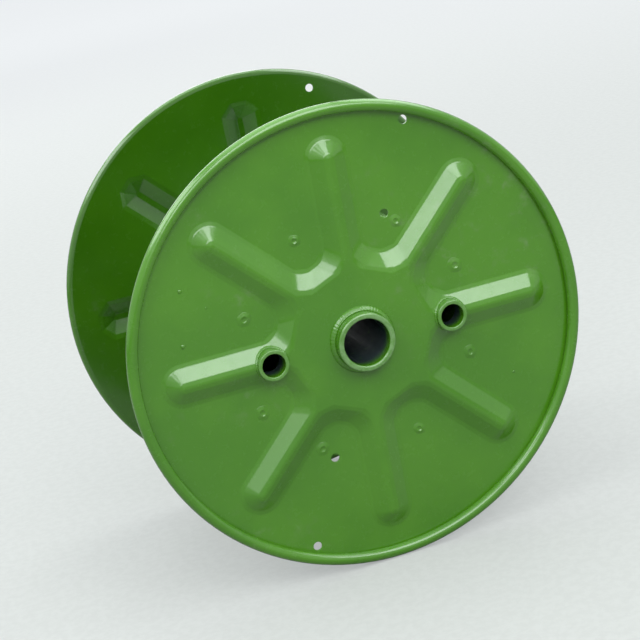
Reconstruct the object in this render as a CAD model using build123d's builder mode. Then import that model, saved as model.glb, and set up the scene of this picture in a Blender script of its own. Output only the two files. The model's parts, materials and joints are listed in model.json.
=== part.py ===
"""Pressed-steel cable bobbin, lying on its rims.

Two flanges are pressed from sheet with eight ribs, a raised eight-sided hub and a rolled rim. They hold
a rolled barrel, a centre tube for the spindle and four short sleeves for the drive pins. The bore axis
lies along Y, the front flange faces -Y and the origin is the middle of the axis. Millimetres.
"""

import os
from math import atan2, degrees, radians, tan

from build123d import *

# Overall sizes
flange_diameter = 800.0
winding_width = 500.0

# Sheet of the flanges and its rolled rim, whose round section is drawn with eight flats
sheet = 3.0
rim_bead = 20.0
rim_flats = 8

# Pressed ribs and hub
rib_count = 8
rib_depth = 17.0
rib_width = 68.0
rib_to_rim = 36.0
crest_width = 12.0
hub_across_flats = 242.0
valley_radius = 20.0
press_radius = 14.0
hidden_tip_count = 8

# Barrel
barrel_diameter = 406.0
barrel_wall = 3.0

# Centre tube
bore_diameter = 80.0
tube_wall = 10.0
tube_stand = 25.0
tube_chamfer = 2.0

# Drive sleeves
drive_hole_diameter = 40.0
sleeve_wall = 6.5
sleeve_stand = 10.0
sleeve_length = 42.0
sleeve_to_barrel = 13.5

# Holes for the two ends of the cable
cable_hole_diameter = 15.0
cable_hole_margin = 1.5
rim_hole_inset = 30.0

# Clearance round each tube where it passes through the sheet
weld_gap = 0.2

# Values worked out from those above
flange_radius = flange_diameter / 2
inner_face_y = winding_width / 2
bead_radius = rim_bead / 2
barrel_radius = barrel_diameter / 2
tube_radius = bore_diameter / 2 + tube_wall
sleeve_radius = drive_hole_diameter / 2 + sleeve_wall
drive_circle = barrel_radius - barrel_wall - sleeve_to_barrel - sleeve_radius
crest_height = sheet + rib_depth
rib_pitch = 360 / rib_count
rib_end = flange_radius - rim_bead - rib_to_rim - rib_width / 2
flank_run = (rib_width - crest_width) / 2
flank_angle = degrees(atan2(rib_depth, flank_run))
valley_turn = 90 - rib_pitch / 2
hub_foot = hub_across_flats / 2 + flank_run
inner_inset = sheet * tan(radians(flank_angle / 2))
cable_hole_circle = barrel_radius + cable_hole_margin + cable_hole_diameter / 2
cable_hole_angle = 1.5 * rib_pitch

# Inner face of the front flange seen from outside
front_face = Plane(origin=(0, -inner_face_y, 0), x_dir=(1, 0, 0), z_dir=(0, -1, 0))


def bend_reach(radius, turn):
    """How far a bend reaches along each of its faces. Each bend is drawn as one flat across its radius."""
    return radius * tan(radians(turn / 2))


def sloped_bar(base, along, half_width, length, both=False):
    """A low bar with sloped flanks, run from the centre of its base plane."""
    with BuildPart() as bar:
        with BuildSketch(Plane(origin=base.origin, x_dir=base.z_dir.cross(along), z_dir=along)):
            Trapezoid(2 * half_width, rib_depth, flank_angle, align=(Align.CENTER, Align.MIN))
        extrude(amount=length, both=both)
    return bar.part


def frustum(base, sides, half_width, first_turn=0.0):
    """A low form with flat sloped sides: what the bars that cross at its centre have in common."""
    with BuildPart() as form:
        for k in range(sides // 2):
            along = base.x_dir.rotate(Axis(base.origin, base.z_dir), first_turn + k * 360 / sides)
            crossing = sloped_bar(base, along, half_width, 2 * half_width, both=True)
            add(crossing, mode=Mode.INTERSECT if k else Mode.ADD)
    return form.part


def pressed_star(base, inset, tip):
    """The hub and its ribs over a base plane, drawn in from their foot, with a tip at each rib's end."""
    with BuildPart() as star:
        add(frustum(base, rib_count, hub_foot - inset, rib_pitch / 2))
        for k in range(rib_count):
            along = base.x_dir.rotate(Axis(base.origin, base.z_dir), k * rib_pitch)
            add(sloped_bar(base, along, rib_width / 2 - inset, rib_end))
        with Locations(base):
            with PolarLocations(rib_end, rib_count):
                add(tip)
    return star.part


def foot_edges(part, height):
    """The edges where the ribs and the hub meet a face of the flat sheet, inside the rim."""
    level = -inner_face_y - height
    at_level = part.edges().filter_by_position(Axis.Y, level, level)
    return at_level.filter_by(lambda edge: edge.length < flange_radius)


# Star as the outer face shows it, with round rib ends and with bends in its valleys and round its crest
with BuildPart() as round_tip:
    Cone(rib_width / 2, crest_width / 2, rib_depth, align=(Align.CENTER, Align.CENTER, Align.MIN))

with BuildPart() as outer_star:
    add(pressed_star(front_face.offset(sheet), 0, round_tip.part))
    sloped = outer_star.edges().filter_by(GeomType.LINE).filter_by(Plane.XZ, reverse=True)
    valleys = sloped.sort_by_distance(front_face.origin)[: 2 * rib_count]
    chamfer(valleys, bend_reach(valley_radius, valley_turn))
    chamfer(outer_star.edges().group_by(Axis.Y)[0], bend_reach(press_radius, flank_angle))

# Star pressed into the inner face, a sheet's thickness behind the outer one
flat_tip = frustum(Plane.XY, hidden_tip_count, rib_width / 2 - inner_inset)
inner_star = pressed_star(front_face, inner_inset, flat_tip)

# Front flange: a disc with the star pressed out of it, then the rolled rim and the holes
with BuildPart() as flange_front:
    with BuildSketch(front_face):
        Circle(flange_radius - bead_radius)
    extrude(amount=sheet)
    add(outer_star.part)
    chamfer(foot_edges(flange_front, sheet), bend_reach(press_radius, flank_angle))
    add(inner_star, mode=Mode.SUBTRACT)
    chamfer(foot_edges(flange_front, 0), bend_reach(press_radius + sheet, flank_angle))

    # Edge of the sheet, rolled outward into a closed rim
    with BuildSketch(Plane.XY):
        with Locations((flange_radius - bead_radius, -inner_face_y - bead_radius)):
            RegularPolygon(bead_radius, rim_flats, major_radius=False, rotation=180 / rim_flats)
    revolve(axis=Axis.Y)

    # Holes for the centre tube, the drive sleeves and the cable
    with BuildSketch(front_face):
        Circle(tube_radius + weld_gap)
        with PolarLocations(drive_circle, 2):
            Circle(sleeve_radius + weld_gap)
        with PolarLocations(cable_hole_circle, 2, cable_hole_angle):
            Circle(cable_hole_diameter / 2)
        with PolarLocations(flange_radius - rim_hole_inset, 2, cable_hole_angle):
            Circle(cable_hole_diameter / 2)
    extrude(amount=crest_height, mode=Mode.SUBTRACT)

# Back flange: the same pressing, facing the other way with its holes in line
with BuildPart() as flange_back:
    mirror(flange_front.part, about=Plane.XZ)

# Barrel: rolled sheet, butted between the flanges
with BuildPart() as barrel:
    with BuildSketch(Plane.XZ):
        Circle(barrel_radius)
        Circle(barrel_radius - barrel_wall, mode=Mode.SUBTRACT)
    extrude(amount=inner_face_y, both=True)

# Centre tube: through both flanges, with its outer end edges broken
with BuildPart() as centre_tube:
    with BuildSketch(Plane.XZ):
        Circle(tube_radius)
        Circle(bore_diameter / 2, mode=Mode.SUBTRACT)
    extrude(amount=inner_face_y + crest_height + tube_stand, both=True)
    end_edges = centre_tube.edges().filter_by(GeomType.CIRCLE)
    chamfer(end_edges.group_by(SortBy.RADIUS)[-1], tube_chamfer)

pieces = {
    "flange_front": flange_front,
    "flange_back": flange_back,
    "barrel": barrel,
    "centre_tube": centre_tube,
}

# Drive sleeves: a pair of short tubes welded through the drive holes of each flange
sleeve_tip_y = inner_face_y + crest_height + sleeve_stand
for end_name, end_sign in (("front", -1), ("back", 1)):
    tip_plane = Plane(origin=(0, end_sign * sleeve_tip_y, 0), x_dir=(1, 0, 0), z_dir=(0, -end_sign, 0))
    with BuildPart() as drive_sleeves:
        with BuildSketch(tip_plane):
            with PolarLocations(drive_circle, 2):
                Circle(sleeve_radius)
                Circle(drive_hole_diameter / 2, mode=Mode.SUBTRACT)
        extrude(amount=sleeve_length)
    pieces[f"drive_sleeves_{end_name}"] = drive_sleeves

os.makedirs("parts", exist_ok=True)
for name, piece in pieces.items():
    piece.part.label = name
    export_step(piece.part, f"parts/{name}.step")
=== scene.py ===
"""Cable bobbin: green enamel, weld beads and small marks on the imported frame, with floor, lamps and camera.

Metres, in the frame's own axes: the bore lies along Y, the front flange faces -Y and +Z is up.
"""

import json
import random
from math import cos, pi, radians, sin

import bmesh
import bpy
from mathutils import Matrix, Vector
from mathutils.bvhtree import BVHTree

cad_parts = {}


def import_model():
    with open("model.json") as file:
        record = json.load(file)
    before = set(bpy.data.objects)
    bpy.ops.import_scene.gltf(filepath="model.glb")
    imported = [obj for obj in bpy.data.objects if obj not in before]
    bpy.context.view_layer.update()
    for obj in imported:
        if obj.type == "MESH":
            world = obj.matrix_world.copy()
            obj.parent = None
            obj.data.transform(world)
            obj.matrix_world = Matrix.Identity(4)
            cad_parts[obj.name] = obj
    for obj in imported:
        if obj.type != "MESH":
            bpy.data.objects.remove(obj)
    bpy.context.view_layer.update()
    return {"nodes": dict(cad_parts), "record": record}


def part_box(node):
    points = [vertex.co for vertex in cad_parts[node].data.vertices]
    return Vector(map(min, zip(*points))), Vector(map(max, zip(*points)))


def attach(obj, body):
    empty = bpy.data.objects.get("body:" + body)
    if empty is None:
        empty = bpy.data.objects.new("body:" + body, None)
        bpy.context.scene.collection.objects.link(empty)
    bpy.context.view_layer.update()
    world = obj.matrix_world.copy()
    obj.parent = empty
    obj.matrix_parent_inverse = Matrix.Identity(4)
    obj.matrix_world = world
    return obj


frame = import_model()
nodes = frame["nodes"]
mounts = {m["name"]: m for m in frame["record"]["mounts"]}
MM = 0.001

# Sizes read from the frame
flange_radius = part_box("flange_front")[1][0]
inner_face_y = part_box("flange_back")[0][1]
crest_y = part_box("flange_back")[1][1]
tube_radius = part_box("centre_tube")[1][0]
tube_end_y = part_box("centre_tube")[1][1]
bore_radius = mounts["spindle_bore"]["dims"]["r_mm"] * MM
barrel_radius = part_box("barrel")[1][0]
drive_x = mounts["drive_hole_front_right"]["pos_m"][0]
drive_hole_radius = mounts["drive_hole_front_right"]["dims"]["r_mm"] * MM
sleeve_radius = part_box("drive_sleeves_front")[1][0] - drive_x
sleeve_tip_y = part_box("drive_sleeves_back")[1][1]
rib_count = 8
rib_pitch = 2 * pi / rib_count
ends = {"front": -1, "back": 1}


# Helpers that make and join nodes


class Nodes:
    """The nodes of a material, a world or a modifier."""

    def __init__(self, tree):
        self.tree = tree

    def feed(self, socket, value):
        if isinstance(value, bpy.types.NodeSocket):
            self.tree.links.new(value, socket)
        else:
            socket.default_value = value

    def add(self, kind, values=(), **settings):
        node = self.tree.nodes.new(kind)
        for key, value in settings.items():
            setattr(node, key, value)
        for key, value in dict(values).items():
            self.feed(node.inputs[key], value)
        return node

    def math(self, operation, *values, **settings):
        node = self.add("ShaderNodeMath", dict(enumerate(values)), operation=operation, **settings)
        return node.outputs[0]

    def between(self, amount, low, high):
        """A value that goes from low to high as the amount goes from 0 to 1."""
        return self.add("ShaderNodeMapRange", {"Value": amount, "To Min": low, "To Max": high}).outputs[0]

    def mix(self, amount, first, second):
        """A colour that goes from the first to the second as the amount goes from 0 to 1."""
        node = self.add("ShaderNodeMix", {0: amount}, data_type="RGBA")
        for key, colour in ((6, first), (7, second)):
            linked = isinstance(colour, bpy.types.NodeSocket)
            self.feed(node.inputs[key], colour if linked else (*colour, 1.0))
        return node.outputs[2]


class Material(Nodes):
    """A new material, with textures that keep to the object's own axes."""

    def __init__(self, name):
        self.material = bpy.data.materials.new(name)
        self.material.use_nodes = True
        super().__init__(self.material.node_tree)
        self.tree.nodes.clear()

    def place(self):
        return self.add("ShaderNodeTexCoord").outputs["Object"]

    def axes(self):
        """X, Y and Z of the place, by name."""
        return self.add("ShaderNodeSeparateXYZ", {"Vector": self.place()}).outputs

    def noise(self, scale, detail=3.0, roughness=0.5, stretch=(1, 1, 1)):
        stretched = self.add("ShaderNodeMapping", {"Vector": self.place(), "Scale": stretch}).outputs[0]
        grain = {"Scale": scale, "Detail": detail, "Roughness": roughness}
        return self.add("ShaderNodeTexNoise", {"Vector": stretched, **grain}).outputs["Fac"]

    def ramp(self, value, low, high, from_low=0.0, from_high=1.0):
        """The value, taken smoothly from one range to another and held at the ends."""
        ranges = {"From Min": from_low, "From Max": from_high, "To Min": low, "To Max": high}
        node = self.add("ShaderNodeMapRange", {"Value": value, **ranges}, interpolation_type="SMOOTHSTEP")
        return node.outputs[0]

    def bump(self, height, distance, strength, under=None):
        values = {"Height": height, "Distance": distance, "Strength": strength}
        if under is not None:
            values["Normal"] = under
        return self.add("ShaderNodeBump", values).outputs[0]

    def surface(self, **inputs):
        values = {key.replace("_", " "): value for key, value in inputs.items()}
        shader = self.add("ShaderNodeBsdfPrincipled", values)
        self.add("ShaderNodeOutputMaterial", {"Surface": shader.outputs[0]})
        return self.material


class Geometry(Nodes):
    """A new modifier made of nodes."""

    def __init__(self, name):
        super().__init__(bpy.data.node_groups.new(name, "GeometryNodeTree"))
        for way in ("INPUT", "OUTPUT"):
            self.tree.interface.new_socket("Geometry", in_out=way, socket_type="NodeSocketGeometry")
        self.last = self.add("NodeGroupInput").outputs[0]

    def step(self, kind, values=(), **settings):
        """A node that the geometry itself passes through."""
        node = self.add(kind, {"Geometry": self.last, **dict(values)}, **settings)
        self.last = node.outputs["Geometry"]

    def done(self):
        self.add("NodeGroupOutput", {0: self.last})
        return self.tree


# Enamel

enamel_colour = (0.066, 0.225, 0.004)
enamel_thin = (0.086, 0.26, 0.008)
enamel_thick = (0.050, 0.185, 0.003)
dust_colour = (0.36, 0.34, 0.28)
chip_colour = (0.16, 0.17, 0.16)
# Colour deeper in the bores: dark and bluish, partly unpainted steel and partly painted shade inside the bore
steel_and_shade_colour = (0.030, 0.045, 0.050)
rubbed_colour = (0.25, 0.40, 0.18)
scuffed_colour = (0.12, 0.22, 0.075)
enamel_roughness = (0.16, 0.3)
evenness = 0.55
gloss = 0.35
most_dust = 0.22

# What wear adds to the roughness, and how deep chips, waves and orange peel are
chip_roughness = 0.3
scuffed_roughness = 0.25
steel_roughness = 0.2
chip_depth = 0.00015
wave_depth = 0.0009
peel_depth = 0.00003

# Where a tube's enamel is rubbed, or gives way to steel coloured near black as painted shade inside the bore:
# depths from its tip, and steps out from its bore
ragged_edge = 0.0012
rubbed_depths = (0.0012, 0.0034)
steel_and_shade_depths = (0.004, 0.03)
steel_and_shade_edge = (0.0002, 0.0014)


def enamel(name, wear, scuffs=0.0, coat=(1.0, 0.13), bore=None, tip_y=0.0, rubbed=0.0):
    """Glossy sprayed enamel, a little uneven, with fine dust and chips.

    scuffs is how strong the rings are that cable leaves, and coat the weight and roughness of the top gloss.
    A tube also has a bore, the axes and the radius of its unpainted steel, coloured dark and bluish deeper in
    as painted shade inside the bore. Its end faces lie at tip_y, and rubbed is how pale the rack has rubbed
    them.
    """
    n = Material(name)
    cloud = n.ramp(n.noise(5.0, 4.0, 0.55), 0.0, 1.0, 0.35, 0.65)
    colour = n.mix(evenness, n.mix(cloud, enamel_thick, enamel_thin), enamel_colour)
    colour = n.mix(dust_mask(n), colour, dust_colour)
    chips = chips_mask(n, wear)
    colour = n.mix(chips, colour, chip_colour)
    grain = n.ramp(n.noise(60.0, 5.0, 0.7), *enamel_roughness, 0.3, 0.7)
    rough = n.math("ADD", grain, n.math("MULTIPLY", chips, chip_roughness))
    if scuffs:
        worn = rings_mask(n, scuffs)
        colour = n.mix(worn, colour, scuffed_colour)
        rough = n.math("ADD", rough, n.math("MULTIPLY", worn, scuffed_roughness))
    if bore:
        from_tip = depth_from_tip(n, tip_y)
        colour = n.mix(rubbed_mask(n, from_tip, rubbed), colour, rubbed_colour)
        # Deeper in the bore the enamel gives way to a dark bluish colour: unpainted steel, darkened as
        # painted shade inside the bore
        bare_and_shaded = n.math("MULTIPLY", bore_mask(n, *bore), n.ramp(from_tip, 0.0, 1.0, *steel_and_shade_depths))
        colour = n.mix(bare_and_shaded, colour, steel_and_shade_colour)
        rough = n.math("ADD", rough, n.math("MULTIPLY", bare_and_shaded, steel_roughness))
    peel = n.bump(n.noise(420.0, 2.0), peel_depth, 0.5)
    waves = n.bump(n.noise(14.0, 1.5), wave_depth, 0.35, peel)
    pits = n.bump(n.math("SUBTRACT", 1.0, chips), chip_depth, 0.8, waves)
    top = {"Coat_Weight": coat[0], "Coat_Roughness": coat[1], "Coat_Normal": waves}
    return n.surface(Base_Color=colour, Roughness=rough, Normal=pits, Specular_IOR_Level=gloss, **top)


def dust_mask(n):
    """Fine dust in faint patches."""
    specks = n.ramp(n.noise(38.0, 6.0, 0.7), 0.0, 1.0, 0.52, 0.78)
    patches = n.ramp(n.noise(3.2, 2.0), 0.0, most_dust, 0.45, 0.65)
    return n.math("MULTIPLY", specks, patches)


def chips_mask(n, wear):
    """Small chips in groups, more of them with more wear."""
    chip = 0.74 - 0.1 * wear
    group = 0.56 - 0.12 * wear
    chips = n.ramp(n.noise(150.0, 5.0, 0.65), 0.0, 1.0, chip, chip + 0.02)
    return n.math("MULTIPLY", chips, n.ramp(n.noise(9.0, 2.0), 0.0, 1.0, group, group + 0.04))


def rings_mask(n, most):
    """Rings round the Y axis, worn in patches."""
    rings = n.ramp(n.noise(6.0, 6.0, 0.75, (1, 70, 1)), 0.0, 1.0, 0.5, 0.75)
    return n.math("MULTIPLY", rings, n.ramp(n.noise(4.0, 3.0, 0.6), 0.0, most, 0.4, 0.65))


# Marks where the bore's dark colour goes, which is partly painted shade inside the bore
def bore_mask(n, centres, radius):
    """1 within a radius of a line along Y through any of the centres, given as x, with a ragged edge."""
    place = n.axes()
    ragged = n.ramp(n.noise(90.0, 4.0), -ragged_edge, ragged_edge)
    edge = [radius + step for step in steel_and_shade_edge]
    mask = 0.0
    for centre in centres:
        across = n.math("SUBTRACT", place["X"], centre)
        up = place["Z"]
        squares = n.math("ADD", n.math("MULTIPLY", across, across), n.math("MULTIPLY", up, up))
        away = n.math("ADD", n.math("SQRT", squares), ragged)
        mask = n.math("MAXIMUM", mask, n.ramp(away, 1.0, 0.0, *edge))
    return mask


def depth_from_tip(n, tip_y):
    """How far in from the nearer tip a point lies, give or take a ragged millimetre."""
    from_tip = n.math("SUBTRACT", tip_y, n.math("ABSOLUTE", n.axes()["Y"]))
    return n.math("ADD", from_tip, n.ramp(n.noise(140.0, 5.0, 0.7), -ragged_edge, ragged_edge))


def rubbed_mask(n, from_tip, most):
    """Scratched and patchy on the end faces, and 0 a few millimetres down the wall."""
    face = n.ramp(from_tip, 1.0, 0.0, *rubbed_depths)
    patches = n.ramp(n.noise(70.0, 6.0, 0.75), 0.3 * most, most, 0.35, 0.6)
    return n.math("MULTIPLY", face, patches)


tube_bore = ((0.0,), bore_radius)
sleeve_bores = ((-drive_x, drive_x), drive_hole_radius)
flange_enamel = enamel("green_enamel_flange", wear=0.1)
barrel_enamel = enamel("green_enamel_barrel", wear=0.3, scuffs=0.8, coat=(0.6, 0.24))
tube_enamel = enamel("green_enamel_tube", wear=0.5, bore=tube_bore, tip_y=tube_end_y, rubbed=0.6)
sleeve_enamel = enamel("green_enamel_sleeve", wear=0.5, bore=sleeve_bores, tip_y=sleeve_tip_y, rubbed=0.3)
weld_enamel = enamel("green_enamel_weld", wear=0.2)

node_materials = {
    "flange_front": flange_enamel,
    "flange_back": flange_enamel,
    "barrel": barrel_enamel,
    "centre_tube": tube_enamel,
    "drive_sleeves_front": sleeve_enamel,
    "drive_sleeves_back": sleeve_enamel,
}


# Modifiers that finish the frame's meshes, whose bends, valleys and rim are drawn in flats

flat_angle = radians(0.4)
bend_angle = radians(9)
sharp_angle = radians(32)
end_angle = radians(60)

edge_round = 0.0007
bend_round = 0.0014
valley_round = 0.0092
rim_round = 0.0039
chamfer_round = 0.0013
end_round = {
    "barrel": 0.0004,
    "centre_tube": 0.004,
    "drive_sleeves_front": 0.0018,
    "drive_sleeves_back": 0.0018,
}
round_segments = 4
chamfer_segments = 3

same_place = 0.00001
valley_merge = 0.0012
level_tolerance = 0.0005
rim_bead = crest_y - inner_face_y
rim_inner_radius = flange_radius - 1.1 * rim_bead


def edge_weights():
    """How much each edge of a flange is rounded, as a share of the widest rounding.

    The valleys beside the hub have the widest. The tiny edges at their ends are merged first, because a wide
    rounding would fold over them.
    """
    g = Geometry("edge_weights")
    position = g.add("GeometryNodeInputPosition").outputs[0]
    flat = g.add("ShaderNodeVectorMath", {0: position, 1: (1, 0, 1)}, operation="MULTIPLY").outputs[0]
    away = g.add("ShaderNodeVectorMath", {0: flat}, operation="LENGTH").outputs["Value"]
    near_hub = g.math("LESS_THAN", away, barrel_radius)
    g.step("GeometryNodeMergeByDistance", {"Selection": near_hub, "Distance": valley_merge})

    tips = g.add("GeometryNodeInputMeshEdgeVertices")
    first = g.add("ShaderNodeSeparateXYZ", {0: tips.outputs["Position 1"]}).outputs["Y"]
    last = g.add("ShaderNodeSeparateXYZ", {0: tips.outputs["Position 2"]}).outputs["Y"]
    level = g.math("COMPARE", first, last, level_tolerance)
    in_valley = g.math("SUBTRACT", near_hub, level, use_clamp=True)
    on_rim = g.math("GREATER_THAN", away, rim_inner_radius)

    angles = g.add("GeometryNodeInputMeshEdgeAngle")
    corner = g.math("GREATER_THAN", angles.outputs["Signed Angle"], sharp_angle)
    turned = g.math("GREATER_THAN", angles.outputs["Unsigned Angle"], bend_angle)
    gentle = g.math("LESS_THAN", angles.outputs["Unsigned Angle"], sharp_angle)
    bend = g.math("SUBTRACT", g.math("MULTIPLY", turned, gentle), on_rim, use_clamp=True)
    corner_width = g.math("MULTIPLY", corner, g.between(on_rim, edge_round, rim_round))
    bend_width = g.math("MULTIPLY", bend, g.between(in_valley, bend_round, valley_round))
    weight = g.math("DIVIDE", g.math("MAXIMUM", corner_width, bend_width), valley_round)
    stored = {"Name": "bevel_weight_edge", "Value": weight}
    g.step("GeometryNodeStoreNamedAttribute", stored, domain="EDGE", data_type="FLOAT")
    return g.done()


def smooth_by_angle():
    """Smooth faces, with sharp edges where they turn by more than the sharp angle."""
    g = Geometry("smooth_by_angle")
    angle = g.add("GeometryNodeInputMeshEdgeAngle").outputs["Unsigned Angle"]
    gentle = g.math("LESS_THAN", angle, sharp_angle)
    g.step("GeometryNodeSetShadeSmooth", domain="FACE")
    g.step("GeometryNodeSetShadeSmooth", {"Shade Smooth": gentle}, domain="EDGE")
    return g.done()


weights_group = edge_weights()
smooth_group = smooth_by_angle()


def modify(mesh, kind, **settings):
    modifier = mesh.modifiers.new(kind.lower(), kind)
    for key, value in settings.items():
        setattr(modifier, key, value)


def add_bevel(mesh, width, segments, **limit):
    modify(mesh, "BEVEL", width=width, segments=segments, use_clamp_overlap=False, **limit)


def finish_mesh(node):
    mesh = nodes[node]
    modify(mesh, "WELD", merge_threshold=same_place)
    modify(mesh, "DECIMATE", decimate_type="DISSOLVE", angle_limit=flat_angle)
    if node.startswith("flange"):
        modify(mesh, "NODES", node_group=weights_group)
        add_bevel(mesh, valley_round, round_segments, limit_method="WEIGHT")
    else:
        add_bevel(mesh, end_round[node], round_segments, limit_method="ANGLE", angle_limit=end_angle)
        add_bevel(mesh, chamfer_round, chamfer_segments, limit_method="ANGLE", angle_limit=sharp_angle)
    modify(mesh, "NODES", node_group=smooth_group)
    modify(mesh, "WEIGHTED_NORMAL", keep_sharp=True)


for node, material in node_materials.items():
    for slot in nodes[node].material_slots:
        slot.material = material
    finish_mesh(node)


# Pieces that the frame leaves to this scene


def surface_of(node):
    tree = BVHTree.FromObject(nodes[node], bpy.context.evaluated_depsgraph_get())

    def height(x, z, side):
        """The y of the node's outer surface over a point of its face."""
        hit = tree.ray_cast(Vector((x, side, z)), Vector((0, -side, 0)))
        return hit[0].y

    return height


def piece(name, bm, material):
    mesh = bpy.data.meshes.new(name)
    bmesh.ops.recalc_face_normals(bm, faces=bm.faces)
    bm.to_mesh(mesh)
    bm.free()
    mesh.shade_smooth()
    mesh.materials.append(material)
    made = bpy.data.objects.new(name, mesh)
    bpy.context.scene.collection.objects.link(made)
    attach(made, "root")


def radial(turn):
    """The direction from the Y axis at a turn from +X towards +Z."""
    return Vector((cos(turn), 0, sin(turn)))


def join_rings(bm, rings, closed=False, capped=True):
    """Faces from each ring of points to the next, round to the first if closed, or capped at both ends."""
    pairs = list(zip(rings, rings[1:]))
    if closed:
        pairs.append((rings[-1], rings[0]))
    for near, far in pairs:
        for i in range(len(near)):
            j = (i + 1) % len(near)
            bm.faces.new((near[i], near[j], far[j], far[i]))
    if capped and not closed:
        bm.faces.new(rings[0])
        bm.faces.new(list(reversed(rings[-1])))


# Weld beads

tube_weld = {"leg": 0.0075, "pitch": 0.0052, "steps": 520, "swelling": 0.06}
sleeve_weld = {"leg": 0.0028, "pitch": 0.0034, "steps": 320, "swelling": 0.2}
stitch_weld = {"leg": 0.0042, "pitch": 0.0045, "swelling": 0.2}
stitch_half_arc = radians(9.0)
stitch_steps = 60
bead_section = [(0, -0.25), (0, 1), (0.28, 0.86), (0.58, 0.62), (0.84, 0.32), (1.05, 0), (1, -0.25)]
beside_wall = 0.0008

seam_turn = radians(-100)
seam_half_width = 0.0042
seam_rise = 0.0012
seam_pitch = 0.0046
seam_steps = 420
seam_end_gap = 0.0045
seam_length = 2 * (inner_face_y - seam_end_gap)
seam_section = [(-1, -0.5), (-0.7, 0.45), (-0.3, 0.9), (0, 1), (0.3, 0.9), (0.7, 0.45), (1, -0.5)]


def ripple(along, pitch):
    """The overlapping half-moons of a weld bead: a slow rise and a quick fall, from 0 to 1."""
    phase = (along / pitch) % 1.0
    return sin(pi * phase) ** 0.7 * (0.6 + 0.4 * phase)


def bead(bm, feet, leg, pitch, swelling, closed=True):
    """A fillet weld along feet.

    Each foot is a corner point, the directions along the plate and up the wall, the arc length and a taper.
    """
    rings = []
    for corner, out, up, along, taper in feet:
        reach = leg * taper * (1 - 0.7 * swelling + swelling * ripple(along, pitch))
        rings.append([bm.verts.new(corner + out * (reach * a) + up * (reach * b)) for a, b in bead_section])
    join_rings(bm, rings, closed)


def ring_weld(bm, centre_x, radius, side, height, leg, pitch, steps, swelling):
    """A weld all round a tube that stands out of a flange's outer face."""
    feet = []
    for k in range(steps):
        turn = 2 * pi * k / steps
        outward = radial(turn)
        wall = Vector((centre_x, 0, 0)) + outward * radius
        toe = wall + outward * leg
        near = wall + outward * beside_wall
        wall_y = height(near.x, near.z, side)
        toe_y = height(toe.x, toe.z, side)
        out = outward * leg + Vector((0, toe_y - wall_y, 0))
        corner = Vector((wall.x, wall_y, wall.z))
        feet.append((corner, out / leg, Vector((0, side, 0)), turn * radius, 1.0))
    bead(bm, feet, leg, pitch, swelling)


def tube_welds(end):
    side = ends[end]
    height = surface_of(f"flange_{end}")
    bm = bmesh.new()
    ring_weld(bm, 0.0, tube_radius, side, height, **tube_weld)
    piece(f"tube_weld_{end}", bm, weld_enamel)
    bm = bmesh.new()
    for x in (-drive_x, drive_x):
        ring_weld(bm, x, sleeve_radius, side, height, **sleeve_weld)
    piece(f"sleeve_welds_{end}", bm, weld_enamel)


def barrel_welds(end):
    """Stitch welds between the barrel and the inner face, one between each pair of ribs."""
    side = ends[end]
    bm = bmesh.new()
    for k in range(rib_count):
        middle = (k + 0.5) * rib_pitch
        feet = []
        for i in range(stitch_steps + 1):
            turn = middle + stitch_half_arc * (2 * i / stitch_steps - 1)
            outward = radial(turn)
            corner = outward * barrel_radius + Vector((0, side * inner_face_y, 0))
            taper = min(1.0, 0.35 + 6 * min(i, stitch_steps - i) / stitch_steps)
            feet.append((corner, outward, Vector((0, -side, 0)), turn * barrel_radius, taper))
        bead(bm, feet, closed=False, **stitch_weld)
    piece(f"barrel_welds_{end}", bm, weld_enamel)


def barrel_seam():
    """The lengthwise weld that closes the rolled barrel."""
    bm = bmesh.new()
    outward = radial(seam_turn)
    across = radial(seam_turn + pi / 2) * seam_half_width
    rings = []
    for k in range(seam_steps + 1):
        y = seam_length * (k / seam_steps - 0.5)
        up = outward * seam_rise * (0.8 + 0.25 * ripple(y + seam_length, seam_pitch))
        base = outward * barrel_radius + Vector((0, y, 0))
        rings.append([bm.verts.new(base + across * a + up * b) for a, b in seam_section])
    join_rings(bm, rings)
    piece("barrel_seam", bm, weld_enamel)


# Plug welds and nibs

plug_circle = barrel_radius + 0.5 * MM
plug_shift = radians(6.5)
plug_points = 44
plug_dimple = 0.1 * MM
plug_radii_mm = (1.4, 2.8, 4.2, 5.0, 5.8, 6.9, 9.0, 11.5, 13.0)
plug_rises_mm = (0.12, 0.35, 1.0, 1.5, 1.62, 1.3, 0.6, 0.15, -0.3)
plug_seeds = {"front": 11, "back": 12}
plug_turns = (-1.2, 1.2)
plug_offsets = (-0.003, 0.003)
plug_swells = (0.85, 1.12)

# X, Z and radius of each nib
nibs = [(-0.283, 0.156, 0.0034), (-0.297, 0.065, 0.0038), (-0.246, 0.118, 0.0022), (0.262, -0.136, 0.0026)]
nib_points = 20
nib_lifts = (0.0, 0.25, 0.5, 0.75, 0.92)
nib_flatness = 0.45


def plug_rings(bm, centre, side, swell, phase):
    """The rings of one plug weld from its dimple out, each a little out of round."""
    rings = []
    for radius, rise in zip(plug_radii_mm, plug_rises_mm):
        ring = []
        for i in range(plug_points):
            a = 2 * pi * i / plug_points
            r = radius * swell * (1 + 0.06 * sin(2 * a + phase) + 0.03 * sin(5 * a + 2 * phase)) * MM
            h = rise * (1 + 0.18 * sin(a + phase) if rise > 0 else 1) * MM
            ring.append(bm.verts.new(centre + radial(a) * r + Vector((0, side * h, 0))))
        rings.append(ring)
    return rings


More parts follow.
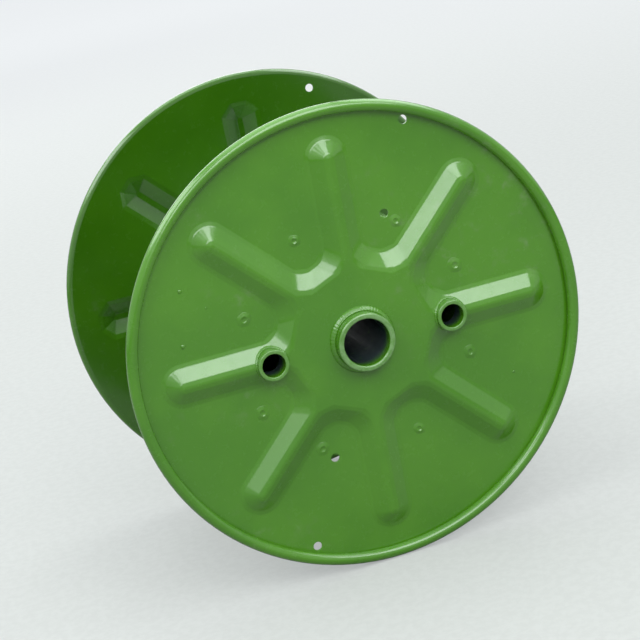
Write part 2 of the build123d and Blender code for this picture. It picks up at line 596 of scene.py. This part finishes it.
def plug_welds(end):
    """Plug welds over the barrel's edge, between the ribs and beside a cable hole where there is one."""
    side = ends[end]
    height = surface_of(f"flange_{end}")
    draw = random.Random(plug_seeds[end])
    bm = bmesh.new()
    for k in range(rib_count):
        turn = (k + 0.5) * rib_pitch + radians(draw.uniform(*plug_turns))
        beside_hole = k % (rib_count // 2) == 1
        if beside_hole:
            turn -= plug_shift
        circle = plug_circle + draw.uniform(*plug_offsets)
        swell = draw.uniform(*plug_swells)
        x, z = circle * cos(turn), circle * sin(turn)
        centre = Vector((x, height(x, z, side), z))
        rings = plug_rings(bm, centre, side, swell, draw.uniform(0, 2 * pi))
        join_rings(bm, rings, capped=False)
        middle = bm.verts.new(centre + Vector((0, side * plug_dimple, 0)))
        under = bm.verts.new(centre - Vector((0, side * MM, 0)))
        for i in range(plug_points):
            j = (i + 1) % plug_points
            bm.faces.new((middle, rings[0][i], rings[0][j]))
            bm.faces.new((under, rings[-1][j], rings[-1][i]))
    piece(f"plug_welds_{end}", bm, flange_enamel)


def paint_nibs():
    """Small lumps under the enamel of the front flange."""
    side = ends["front"]
    height = surface_of("flange_front")
    bm = bmesh.new()
    for x, z, radius in nibs:
        centre = Vector((x, height(x, z, side), z))
        rings = []
        for lift in nib_lifts:
            rise = Vector((0, side * radius * nib_flatness * sin(lift * pi / 2), 0))
            ring = []
            for i in range(nib_points):
                a = 2 * pi * i / nib_points
                r = radius * cos(lift * pi / 2) * (1 + 0.12 * sin(3 * a + 40 * x))
                ring.append(bm.verts.new(centre + radial(a) * r + rise))
            rings.append(ring)
        join_rings(bm, rings)
    piece("paint_nibs", bm, flange_enamel)


for end in ends:
    tube_welds(end)
    barrel_welds(end)
    plug_welds(end)
barrel_seam()
paint_nibs()


# Floor and sky

backdrop_colour = (0.96, 0.98, 1.0)
backdrop_strength = 0.8
shade_colour = (0.66, 1.0, 1.25)
shade_strength = 0.19
floor_dark = (0.25, 0.243, 0.23)
floor_light = (0.275, 0.268, 0.255)
floor_roughness = 0.8
floor_half_width = 30
glow_strength = (0.34, 0.74)
glow_reach = (1.5, 9.0)


def floor_material():
    """Pale and matt, and brighter to the camera than the light makes it, so the far floor doesn't fade."""
    n = Material("studio_floor")
    speckle = n.ramp(n.noise(60.0, 6.0, 0.7), 0.0, 1.0, 0.4, 0.6)
    colour = n.mix(speckle, floor_dark, floor_light)
    paint = {"Base Color": colour, "Roughness": floor_roughness}
    matt = n.add("ShaderNodeBsdfPrincipled", paint).outputs[0]
    away = n.add("ShaderNodeVectorMath", {0: n.place()}, operation="LENGTH").outputs["Value"]
    strength = n.ramp(away, *glow_strength, *glow_reach)
    glow = n.add("ShaderNodeEmission", {"Color": (*backdrop_colour, 1.0), "Strength": strength}).outputs[0]
    both = n.add("ShaderNodeAddShader", {0: matt, 1: glow}).outputs[0]
    to_camera = n.add("ShaderNodeLightPath").outputs["Is Camera Ray"]
    seen = n.add("ShaderNodeMixShader", {0: to_camera, 1: matt, 2: both}).outputs[0]
    n.add("ShaderNodeOutputMaterial", {"Surface": seen})
    return n.material


def floor():
    bm = bmesh.new()
    bmesh.ops.create_grid(bm, x_segments=1, y_segments=1, size=floor_half_width)
    mesh = bpy.data.meshes.new("floor")
    bm.to_mesh(mesh)
    bm.free()
    mesh.materials.append(floor_material())
    made = bpy.data.objects.new("floor", mesh)
    made.location = (0, 0, -flange_radius)
    bpy.context.scene.collection.objects.link(made)


def world():
    """A pale sky: plain on what it lights, white in what reflects it."""
    made = bpy.data.worlds.new("studio")
    made.use_nodes = True
    n = Nodes(made.node_tree)
    path = n.add("ShaderNodeLightPath")
    seen = path.outputs["Is Camera Ray"]
    for ray in ("Is Glossy Ray", "Is Transmission Ray"):
        seen = n.math("MAXIMUM", seen, path.outputs[ray])
    background = n.tree.nodes["Background"]
    n.feed(background.inputs["Color"], n.mix(seen, shade_colour, backdrop_colour))
    n.feed(background.inputs["Strength"], n.between(seen, shade_strength, backdrop_strength))
    bpy.context.scene.world = made


floor()
world()


# Lamps

lamp_colour = (0.93, 1.0, 0.97)
winding_space = [nodes["flange_back"], bpy.data.objects["barrel_welds_back"]]


def softbox(name, azimuth, elevation, distance, width, height, radiance, shift=(0, 0), shaded=()):
    """A lamp facing the bobbin. Azimuth is from -Y towards +X, and radiance is how bright its face looks.

    shift moves it right and up in its own plane, and what is shaded doesn't get its light.
    """
    data = bpy.data.lights.new(name, "AREA")
    data.shape = "RECTANGLE"
    data.size = width
    data.size_y = height
    data.energy = radiance * pi * width * height
    data.color = lamp_colour
    made = bpy.data.objects.new(name, data)
    turn, lift = radians(azimuth), radians(elevation)
    toward = Vector((sin(turn) * cos(lift), -cos(turn) * cos(lift), sin(lift)))
    facing = (-toward).to_track_quat("-Z", "Y").to_matrix()
    place = toward * distance + facing @ Vector((*shift, 0))
    made.matrix_world = Matrix.Translation(place) @ facing.to_4x4()
    made.visible_camera = False
    bpy.context.scene.collection.objects.link(made)
    if shaded:
        shade(made, shaded)


def shade(lamp, things):
    """Keeps a lamp's light off some things."""
    group = bpy.data.collections.new(f"{lamp.name}_shaded")
    lamp.light_linking.receiver_collection = group
    for thing in things:
        group.objects.link(thing)
    for link in group.collection_objects:
        link.light_linking.link_state = "EXCLUDE"


front_sky = {"azimuth": 3, "elevation": 40, "distance": 6, "shaded": winding_space}
softbox("sky_front", width=5.3, height=1.5, radiance=5.2, shift=(0.85, -0.25), **front_sky)
softbox("sky_upper", width=2.6, height=0.9, radiance=5.0, shift=(0.75, 0.95), **front_sky)
softbox("sky_gap", width=1.4, height=2.4, radiance=4.6, shift=(-2.6, -1.4), **front_sky)
softbox("sky_low", width=1.3, height=1.2, radiance=1.2, shift=(-4.3, -1.9), **front_sky)
softbox("sky_foot", width=3.6, height=0.9, radiance=3.0, shift=(-0.1, -1.45), **front_sky)
softbox("sky_high", 0, 66, 6, width=5.0, height=2.4, radiance=1.8, shaded=winding_space)
softbox("sky_left", -84, 47, 6, width=7.4, height=2.8, radiance=4.2)
softbox("sky_right", 95, 52, 6, width=7.0, height=2.6, radiance=3.4)
softbox("sky_top", 180, 75, 5, width=3.5, height=3.5, radiance=1.6)
softbox("sky_back", 185, 30, 6, width=5.0, height=2.4, radiance=3.0)


# Camera: where it stood from the bobbin in the photograph, turned to face it and zoomed in

camera_from_flange = Vector((-0.833, -2.826, 0.918))
camera_roll = radians(11.0)
rim_middle_y = (inner_face_y + crest_y) / 2
aim = Vector((-0.02, -0.10, 0.0))
frame_width = 1.12


def camera():
    data = bpy.data.cameras.new("camera")
    made = bpy.data.objects.new("camera", data)
    bpy.context.scene.collection.objects.link(made)
    place = Vector((0, -rim_middle_y, 0)) + camera_from_flange
    sight = aim - place
    facing = sight.to_track_quat("-Z", "Y").to_matrix() @ Matrix.Rotation(-camera_roll, 3, "Z")
    made.matrix_world = Matrix.Translation(place) @ facing.to_4x4()
    data.sensor_width = 36
    data.sensor_fit = "HORIZONTAL"
    data.lens = data.sensor_width * sight.length / frame_width
    bpy.context.scene.camera = made


camera()
bpy.context.scene.view_settings.view_transform = "Standard"
